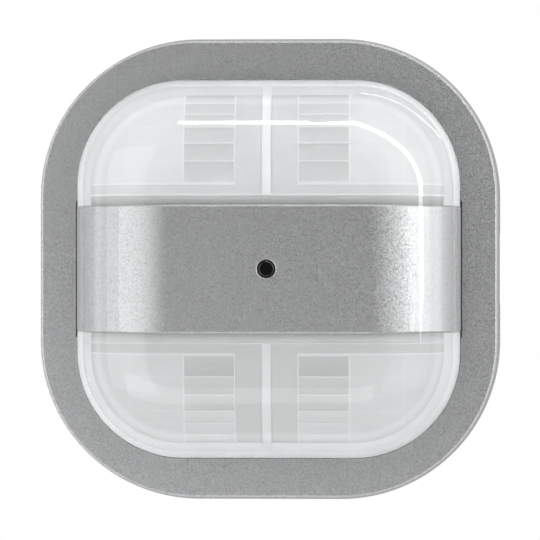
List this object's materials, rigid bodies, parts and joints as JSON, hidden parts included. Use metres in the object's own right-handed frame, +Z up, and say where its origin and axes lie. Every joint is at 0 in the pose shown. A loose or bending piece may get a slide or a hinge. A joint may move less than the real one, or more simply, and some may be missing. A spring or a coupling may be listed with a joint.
{
  "type": "motion sensor",
  "caption": "Flush-mounted square wall motion sensor: silver frame with large corner radii, milky domed lens split by a silver band with a small round window, pull-off cover over a box insert.",
  "frame": {"origin": "centre of the sensor on the wall plane, which is the back face of the support plate", "axes": "+X to the right seen from the room, +Z up, +Y into the wall, so the lens looks along -Y"},
  "size_m": [0.084, 0.0543, 0.084],
  "materials": {
    "silver_paint": "aluminium-effect paint with a fine sparkle on moulded plastic",
    "lens_plastic": "milky translucent polyethylene, glossy outside, faceted inside",
    "tinted_plastic": "dark tinted, polished",
    "white_plastic": "moulded, fine texture",
    "grey_plastic": "moulded, eroded texture",
    "black_plastic": "moulded",
    "zinc_steel": "zinc plated",
    "nickel": "satin nickel plating",
    "brass": "bright, lightly tarnished",
    "circuit_board": "green solder resist on glass laminate",
    "filter_window": "dark coated infrared filter",
    "clear_resin": "clear moulded resin",
    "red_resin": "clear red moulded resin",
    "orange_plastic": "moulded",
    "blue_plastic": "moulded",
    "blue_coating": "dipped epoxy coat",
    "yellow_case": "moulded case",
    "dark_case": "moulded case and shrink sleeve",
    "ferrite": "sintered ferrite under lacquer"
  },
  "bodies": {
    "insert": {"support_plate": "zinc_steel", "front_shroud": "white_plastic", "insert_housing": "grey_plastic", "terminal_block": "grey_plastic", "housing_screw_right": "zinc_steel", "housing_screw_left": "zinc_steel", "sensor_board": "circuit_board", "controller_chip": "black_plastic", "mode_switch_body": "black_plastic", "pir_sensor_upper": "nickel", "pir_window_upper": "filter_window", "pir_sensor_lower": "nickel", "pir_window_lower": "filter_window", "ambient_sensor": "clear_resin", "indicator_lamp": "red_resin", "lux_trimmer_body": "black_plastic", "time_trimmer_body": "black_plastic", "main_board": "circuit_board", "pin_header": "black_plastic", "relay": "dark_case", "film_capacitor": "yellow_case", "electrolytic_capacitor": "dark_case", "choke": "ferrite", "varistor": "blue_coating", "busbar_1": "brass", "busbar_2": "brass", "busbar_3": "brass", "busbar_4": "brass"},
    "cover": {"bezel_ring": "silver_paint", "center_band": "silver_paint", "lens": "lens_plastic", "light_guide": "tinted_plastic", "lens_retainer": "white_plastic"},
    "mode_switch_knob": {"mode_switch_knob": "white_plastic"},
    "lux_trimmer_knob": {"lux_trimmer_knob": "orange_plastic"},
    "time_trimmer_knob": {"time_trimmer_knob": "blue_plastic"},
    "terminal_cage_1": {"terminal_cage_1": "nickel"},
    "terminal_cage_2": {"terminal_cage_2": "nickel"},
    "terminal_cage_3": {"terminal_cage_3": "nickel"},
    "terminal_cage_4": {"terminal_cage_4": "nickel"},
    "terminal_screw_1": {"terminal_screw_1": "zinc_steel"},
    "terminal_screw_2": {"terminal_screw_2": "zinc_steel"},
    "terminal_screw_3": {"terminal_screw_3": "zinc_steel"},
    "terminal_screw_4": {"terminal_screw_4": "zinc_steel"},
    "claw_left": {"claw_left": "zinc_steel"},
    "claw_screw_left": {"claw_screw_left": "zinc_steel"},
    "claw_nut_left": {"claw_nut_left": "zinc_steel"},
    "claw_right": {"claw_right": "zinc_steel"},
    "claw_screw_right": {"claw_screw_right": "zinc_steel"},
    "claw_nut_right": {"claw_nut_right": "zinc_steel"}
  },
  "joints": [
    {"name": "cover_pull", "type": "slide", "parent": "insert", "child": "cover", "axis": [0, -1, 0], "range_m": [0, 0.03]},
    {"name": "mode_switch_slide", "type": "slide", "parent": "insert", "child": "mode_switch_knob", "axis": [1, 0, 0], "range_m": [-0.002, 0.002]},
    {"name": "lux_trimmer_turn", "type": "hinge", "parent": "insert", "child": "lux_trimmer_knob", "pos_m": [-0.017, -0.008, 0], "axis": [0, 1, 0], "range_deg": [-135, 135]},
    {"name": "time_trimmer_turn", "type": "hinge", "parent": "insert", "child": "time_trimmer_knob", "pos_m": [0.017, -0.008, 0], "axis": [0, 1, 0], "range_deg": [-135, 135]},
    {"name": "claw_screw_left_turn", "type": "hinge", "parent": "insert", "child": "claw_screw_left", "pos_m": [-0.0252, -0.002, 0], "axis": [0, 1, 0], "range_deg": [0, 2160]},
    {"name": "claw_nut_left_travel", "type": "slide", "parent": "insert", "child": "claw_nut_left", "axis": [0, -1, 0], "range_m": [0, 0.003]},
    {"name": "claw_left_spread", "type": "slide", "parent": "insert", "child": "claw_left", "axis": [-0.7071, -0.7071, 0], "range_m": [0, 0.00424]},
    {"name": "claw_screw_right_turn", "type": "hinge", "parent": "insert", "child": "claw_screw_right", "pos_m": [0.0252, -0.002, 0], "axis": [0, 1, 0], "range_deg": [0, 2160]},
    {"name": "claw_nut_right_travel", "type": "slide", "parent": "insert", "child": "claw_nut_right", "axis": [0, -1, 0], "range_m": [0, 0.003]},
    {"name": "claw_right_spread", "type": "slide", "parent": "insert", "child": "claw_right", "axis": [0.7071, -0.7071, 0], "range_m": [0, 0.00424]},
    {"name": "terminal_screw_1_turn", "type": "hinge", "parent": "insert", "child": "terminal_screw_1", "pos_m": [-0.0129, 0.028, -0.0168], "axis": [0, -1, 0], "range_deg": [0, 1872]},
    {"name": "terminal_cage_1_travel", "type": "slide", "parent": "insert", "child": "terminal_cage_1", "axis": [0, 1, 0], "range_m": [0, 0.0026]},
    {"name": "terminal_screw_2_turn", "type": "hinge", "parent": "insert", "child": "terminal_screw_2", "pos_m": [-0.0043, 0.028, -0.0168], "axis": [0, -1, 0], "range_deg": [0, 1872]},
    {"name": "terminal_cage_2_travel", "type": "slide", "parent": "insert", "child": "terminal_cage_2", "axis": [0, 1, 0], "range_m": [0, 0.0026]},
    {"name": "terminal_screw_3_turn", "type": "hinge", "parent": "insert", "child": "terminal_screw_3", "pos_m": [0.0043, 0.028, -0.0168], "axis": [0, -1, 0], "range_deg": [0, 1872]},
    {"name": "terminal_cage_3_travel", "type": "slide", "parent": "insert", "child": "terminal_cage_3", "axis": [0, 1, 0], "range_m": [0, 0.0026]},
    {"name": "terminal_screw_4_turn", "type": "hinge", "parent": "insert", "child": "terminal_screw_4", "pos_m": [0.0129, 0.028, -0.0168], "axis": [0, -1, 0], "range_deg": [0, 1872]},
    {"name": "terminal_cage_4_travel", "type": "slide", "parent": "insert", "child": "terminal_cage_4", "axis": [0, 1, 0], "range_m": [0, 0.0026]}
  ],
  "couplings": [
    {"joint": "claw_screw_left_turn", "follows": "claw_nut_left_travel", "rad_per_m": 12566},
    {"joint": "claw_left_spread", "follows": "claw_nut_left_travel", "ratio": 1.4142},
    {"joint": "claw_screw_right_turn", "follows": "claw_nut_right_travel", "rad_per_m": 12566},
    {"joint": "claw_right_spread", "follows": "claw_nut_right_travel", "ratio": 1.4142},
    {"joint": "terminal_screw_1_turn", "follows": "terminal_cage_1_travel", "rad_per_m": 12566},
    {"joint": "terminal_screw_2_turn", "follows": "terminal_cage_2_travel", "rad_per_m": 12566},
    {"joint": "terminal_screw_3_turn", "follows": "terminal_cage_3_travel", "rad_per_m": 12566},
    {"joint": "terminal_screw_4_turn", "follows": "terminal_cage_4_travel", "rad_per_m": 12566}
  ]
}
